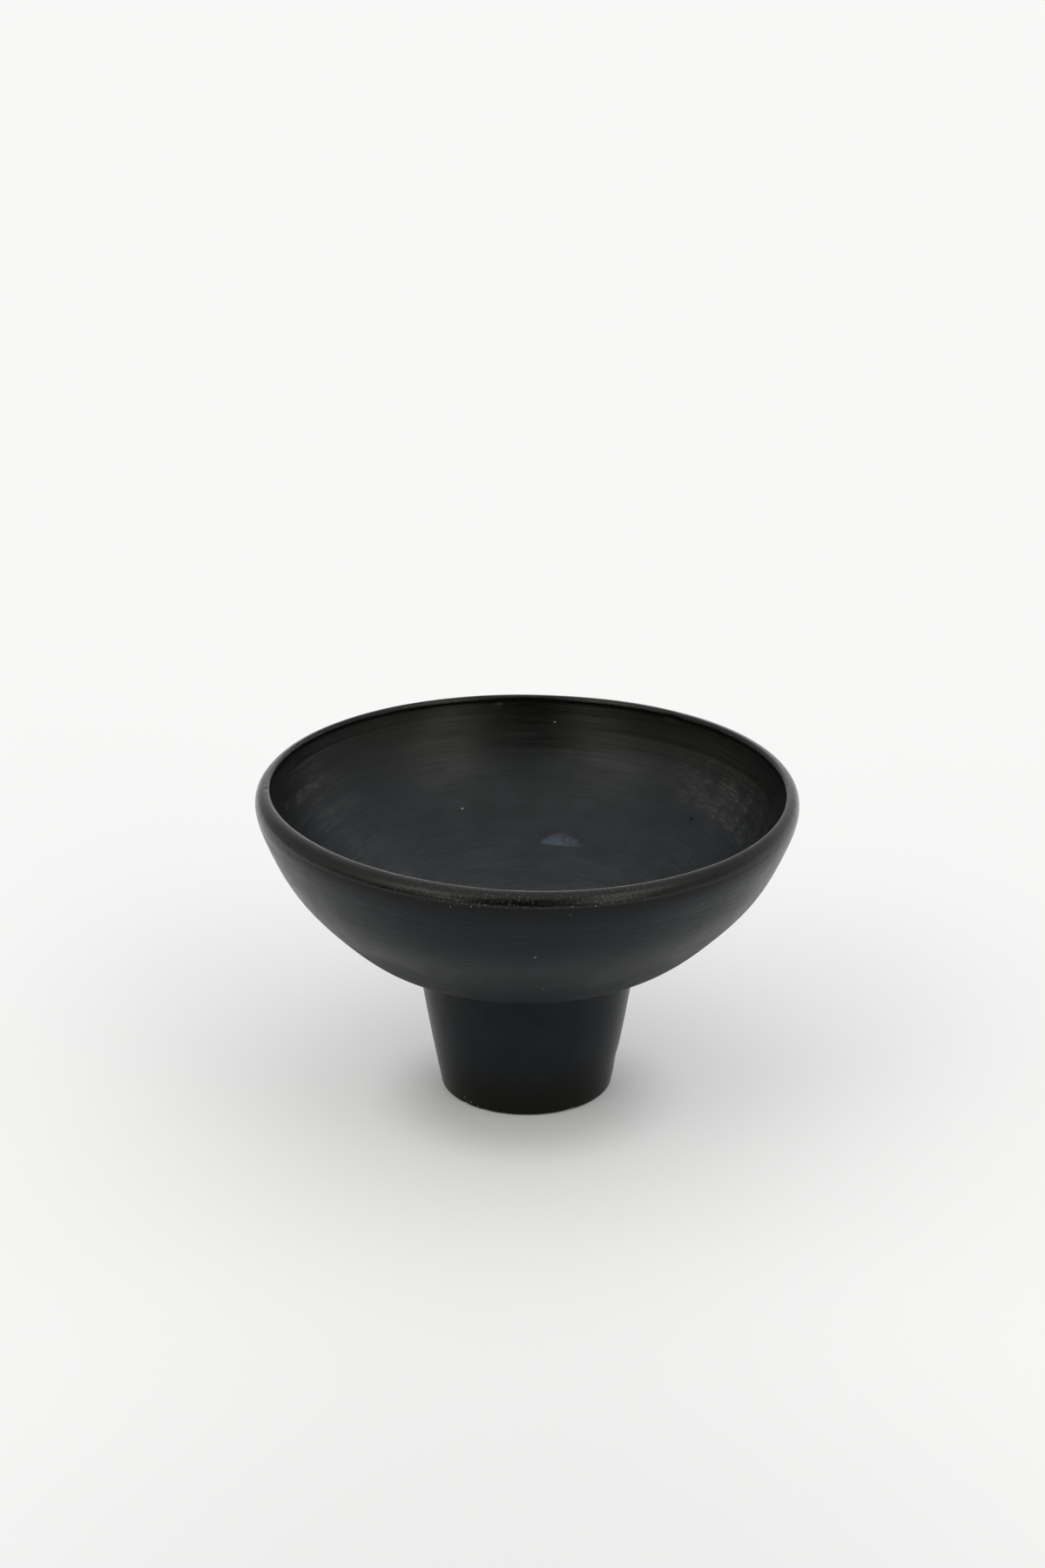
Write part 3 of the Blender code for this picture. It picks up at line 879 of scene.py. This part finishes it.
def foot_material():
    """Smooth satin black, with painted shade that makes it warmer and darker towards the table, faint
    wiping marks and a rough bare edge.
    """
    look = Surface("fired_foot")
    look.gloss(*FOOT_GLOSS)
    clouds = look.noise(*FOOT_CLOUDS)
    streaks = look.streaks(*FOOT_STREAKS)
    colour = look.blend(look.fade(clouds, *FOOT_PALE_FADE), FOOT_DARK, FOOT_PALE)
    # Painted shade: warmer and darker towards the table, where the foot reflects the shadowed floor
    colour = look.blend(look.fade(look.height, *FOOT_WARM_FADE), colour, FOOT_PAINTED_SHADE)
    ragged = look.times(look.noise(*FOOT_EDGE_NOISE), FOOT_EDGE_WAVE)
    edge = look.fade(look.plus(look.height, ragged), *FOOT_EDGE_FADE)
    colour = look.blend(look.times(edge, FOOT_EDGE_SHARE), colour, SCUFF_BROWN)
    colour = specked(look, colour, FOOT_SPECKS)
    height = look.plus(look.times(clouds, FOOT_CLOUD_DEPTH), look.times(streaks, FOOT_STREAK_DEPTH))
    return look.finish(colour, look.fade(clouds, *FOOT_ROUGHNESS), height)


def bare_clay_material(name, colour):
    """Matt dark clay with a fine tooth, for the joint."""
    look = Surface(name)
    patches = look.fade(look.noise(*JOINT_PATCHES), *JOINT_PATCH_FADE)
    darker = tuple(JOINT_DARKER * part for part in colour)
    height = look.times(look.noise(*JOINT_TOOTH), JOINT_TOOTH_DEPTH)
    return look.finish(look.blend(patches, darker, colour), JOINT_ROUGHNESS, height)


def dress(piece, node, slot, *materials):
    """Gives a piece its materials and its body, and hides the CAD model's node that it stands for; the slot
    is not used.
    """
    for material in materials:
        piece.data.materials.append(material)
    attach(piece, "root")
    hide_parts(node)


def make_floor():
    """Plain pale floor; its slight glow stands for the light that other surfaces of a studio throw back."""
    bpy.ops.mesh.primitive_plane_add(size=FLOOR_SIZE, location=(0.0, 0.0, FLOOR_HEIGHT))
    floor = bpy.context.object
    floor.name = "floor"
    material = bpy.data.materials.new("pale_floor")
    nodes = Nodes(material)
    shader = nodes.tree.nodes["Principled BSDF"]
    place = nodes.add("ShaderNodeTexCoord", {}, "Object")
    shaded = nodes.vector("DISTANCE", place, FLOOR_SHADE_PLACE, "Value")
    shade = nodes.fade(shaded, FLOOR_SHADE_REACH, FLOOR_SHADE_END, FLOOR_SHADE, 1.0)
    nodes.feed(shader.inputs["Base Color"], nodes.stretch(FLOOR_COLOUR, shade))
    away = nodes.vector("DISTANCE", place, GLOW_HOLE, "Value")
    glow = nodes.fade(away, GLOW_HOLE_REACH, GLOW_FULL_REACH, FLOOR_GLOW_NEAR, FLOOR_GLOW)
    nodes.feed(shader.inputs["Emission Strength"], glow)
    shader.inputs["Roughness"].default_value = FLOOR_ROUGHNESS
    shader.inputs["Specular IOR Level"].default_value = FLOOR_GLOSS
    shader.inputs["Emission Color"].default_value = (*WHITE, 1.0)
    floor.data.materials.append(material)


def sky_direction(azimuth, elevation):
    turn, up = math.radians(azimuth), math.radians(elevation)
    return (math.sin(turn) * math.cos(up), math.cos(turn) * math.cos(up), math.sin(up))


def make_sky():
    """Soft studio lights as smooth bright areas of the sky round the table."""
    world = bpy.data.worlds.new("studio")
    sky = Nodes(world)
    direction = sky.vector("NORMALIZE", sky.add("ShaderNodeTexCoord", {}, "Generated"))
    light = (SKY_FILL, SKY_FILL, SKY_FILL)
    for azimuth, elevation, spread, strength, tint in SKY_LIGHTS:
        facing = sky.vector("DOT_PRODUCT", direction, sky_direction(azimuth, elevation), "Value")
        closeness = sky.times(sky.maths("SUBTRACT", facing, 1.0), math.radians(spread) ** -2)
        glow = sky.stretch(tint, sky.times(sky.maths("EXPONENT", closeness), strength))
        light = sky.vector("ADD", light, glow)
    seen = sky.add("ShaderNodeLightPath", {}, "Is Camera Ray")
    sky.feed(sky.tree.nodes["Background"].inputs["Color"], sky.blend(seen, light, BACKDROP))
    bpy.context.scene.world = world


def make_camera():
    """Camera that looks down on the bowl, with a slight turn and roll."""
    data = bpy.data.cameras.new("camera")
    data.lens = LENS
    data.sensor_width = SENSOR
    data.sensor_fit = "AUTO"
    camera = bpy.data.objects.new("camera", data)
    bpy.context.scene.collection.objects.link(camera)
    down = CAMERA_DOWN
    turn = CAMERA_AZIMUTH
    forward = Vector((math.sin(turn) * math.cos(down), math.cos(turn) * math.cos(down), -math.sin(down)))
    right = Vector((math.cos(turn), -math.sin(turn), 0.0))
    below = forward.cross(right)
    roll_right = math.cos(CAMERA_ROLL) * right + math.sin(CAMERA_ROLL) * below
    roll_below = -math.sin(CAMERA_ROLL) * right + math.cos(CAMERA_ROLL) * below
    turned = Matrix((roll_right, -roll_below, -forward)).transposed()
    camera.matrix_world = Matrix.Translation((0.0, -CAMERA_BACK, CAMERA_HEIGHT)) @ turned.to_4x4()
    bpy.context.scene.camera = camera


def main():
    bpy.context.scene.view_settings.view_transform = "Standard"
    lip = outside_material("fired_bowl_lip", LIP_GLOSS)
    outside = outside_material("fired_bowl_outside", OUTSIDE_GLOSS)
    dress(make_bowl(), "bowl", "bowl_surface", inside_material(), lip, outside)
    dress(make_foot(), "pedestal_foot", "foot_surface", foot_material())
    dress(make_slip(), "luting_slip", "slip_clay", bare_clay_material("dark_slip", SLIP_CLAY))
    dress(make_coil(), "seam_coil", "coil_clay", bare_clay_material("dark_coil", COIL_CLAY))
    make_floor()
    make_sky()
    make_camera()


main()
